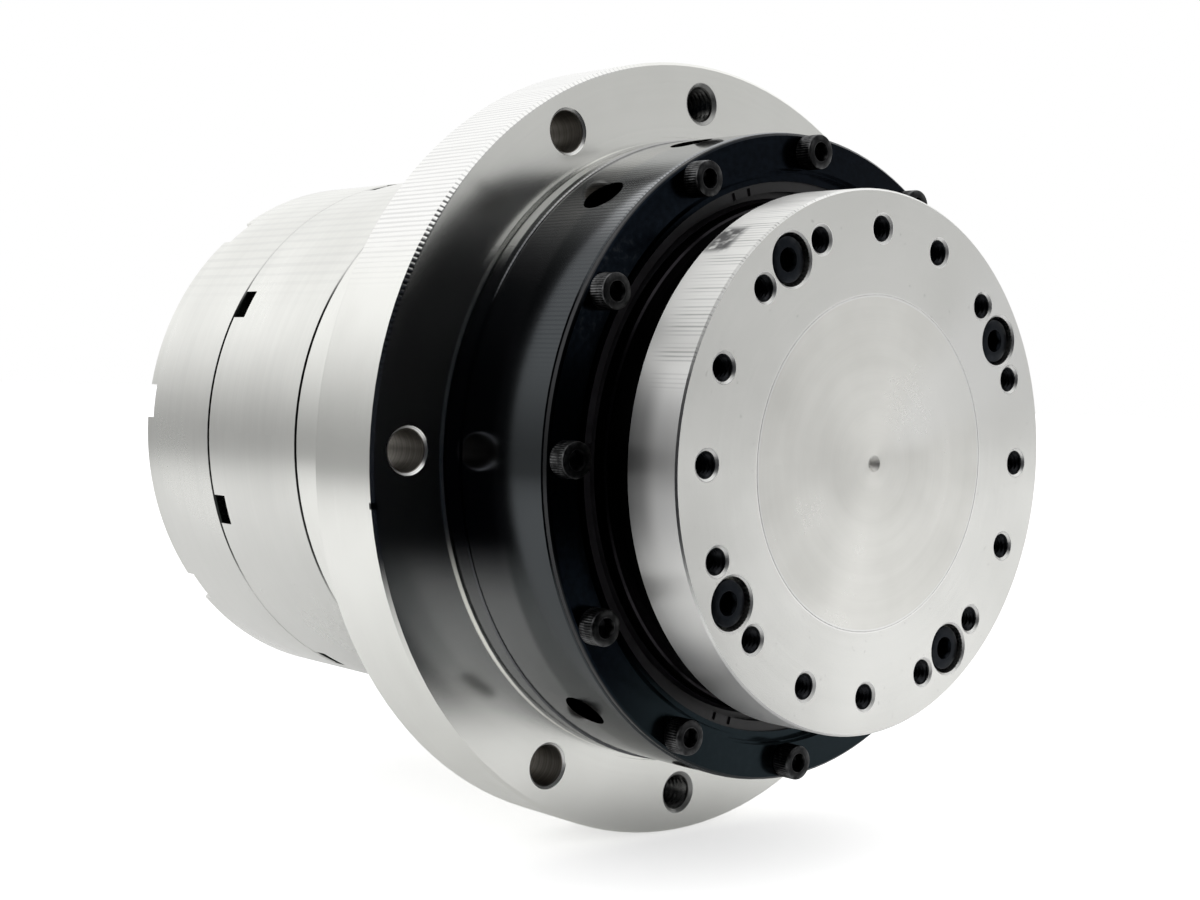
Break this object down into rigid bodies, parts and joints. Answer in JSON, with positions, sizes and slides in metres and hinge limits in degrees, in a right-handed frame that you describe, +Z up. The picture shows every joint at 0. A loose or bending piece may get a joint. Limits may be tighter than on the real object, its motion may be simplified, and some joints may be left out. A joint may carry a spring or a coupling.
{
  "type": "strain wave rotary actuator",
  "caption": "Flanged rotary actuator: a crossed roller output flange driven through a strain wave gear by a brushless motor with a brake and an encoder in a round stepped housing.",
  "frame": {"origin": "centre of the mounting flange's front face, on the axis of rotation", "axes": "-Y along the axis of rotation, out of the output flange; +Z up, through the upper tapped hole of the mounting flange; +X to the right as seen from the front"},
  "size_m": [0.13, 0.1395, 0.13],
  "materials": {
    "machined_aluminium": "machined",
    "satin_aluminium": "satin",
    "output_aluminium": "bright turned",
    "black_oxide_steel": "blued",
    "screw_steel": "dark oxide",
    "bearing_steel": "ground",
    "gear_steel": "machined",
    "shaft_steel": "ground",
    "seal_rubber": "matt",
    "lamination_steel": "stacked",
    "winding_copper": "enamelled",
    "magnet_nickel": "plated",
    "brake_steel": "phosphated",
    "friction_lining": "pressed",
    "board_laminate": "lacquered",
    "black_plastic": "moulded"
  },
  "bodies": {
    "housing": {"flange_housing": "machined_aluminium", "middle_housing": "satin_aluminium", "rear_cap": "satin_aluminium", "housing_bolts": "screw_steel", "cross_bearing_outer_ring_front": "bearing_steel", "cross_bearing_outer_ring_rear": "bearing_steel", "bearing_clamp_ring": "black_oxide_steel", "clamp_ring_screws": "screw_steel", "output_seal": "seal_rubber", "circular_spline": "gear_steel", "circular_spline_screws": "screw_steel", "motor_front_plate": "satin_aluminium", "shaft_seal": "seal_rubber", "motor_rear_plate": "satin_aluminium", "front_bearing_outer_ring": "bearing_steel", "rear_bearing_outer_ring": "bearing_steel", "preload_spring": "bearing_steel", "stator_core": "lamination_steel", "stator_coils": "winding_copper", "brake_magnet_body": "brake_steel", "brake_coil": "winding_copper", "brake_springs": "shaft_steel", "brake_spacers": "shaft_steel", "brake_screws": "screw_steel", "encoder_board": "board_laminate", "encoder_read_head": "black_plastic", "encoder_board_screws": "screw_steel", "rear_connector": "black_plastic"},
    "output": {"output_flange": "output_aluminium", "output_screws": "screw_steel", "centre_cap": "output_aluminium", "cross_bearing_inner_ring": "bearing_steel", "flexspline": "gear_steel", "flexspline_clamp_plate": "gear_steel", "flexspline_screws": "screw_steel"},
    "motor": {"motor_shaft": "shaft_steel", "wave_generator_plug": "gear_steel", "wave_bearing_inner_race": "bearing_steel", "wave_bearing_balls": "bearing_steel", "wave_bearing_cage": "black_plastic", "wave_bearing_outer_race": "bearing_steel", "wave_generator_washer": "gear_steel", "wave_generator_bolt": "screw_steel", "front_bearing_inner_ring": "bearing_steel", "rear_bearing_inner_ring": "bearing_steel", "rotor_core": "lamination_steel", "rotor_magnets": "magnet_nickel", "brake_hub": "shaft_steel", "brake_friction_disc": "friction_lining", "encoder_disc": "shaft_steel"},
    "crossed_roller_set": {"crossed_rollers": "bearing_steel", "roller_spacers": "black_plastic"},
    "shaft_ball_set": {"shaft_bearing_balls": "bearing_steel", "shaft_bearing_cages": "black_plastic"},
    "brake_armature": {"brake_armature": "brake_steel"}
  },
  "joints": [
    {"name": "output_turn", "type": "hinge", "parent": "housing", "child": "output", "pos_m": [0, 0, 0], "axis": [0, -1, 0], "continuous": true},
    {"name": "motor_turn", "type": "hinge", "parent": "housing", "child": "motor", "pos_m": [0, 0, 0], "axis": [0, -1, 0], "continuous": true, "deforming": ["flexspline"]},
    {"name": "roller_orbit", "type": "hinge", "parent": "housing", "child": "crossed_roller_set", "pos_m": [0, 0, 0], "axis": [0, -1, 0], "continuous": true},
    {"name": "ball_orbit", "type": "hinge", "parent": "housing", "child": "shaft_ball_set", "pos_m": [0, 0, 0], "axis": [0, -1, 0], "continuous": true},
    {"name": "brake_release", "type": "slide", "parent": "housing", "child": "brake_armature", "axis": [0, 1, 0], "range_m": [0, 0.00025], "stiffness_N_per_m": 8000, "springref_m": -0.0002}
  ],
  "couplings": [
    {"joint": "motor_turn", "follows": "output_turn", "ratio": -51},
    {"joint": "roller_orbit", "follows": "output_turn", "ratio": 0.47839},
    {"joint": "ball_orbit", "follows": "output_turn", "ratio": -22.179}
  ]
}
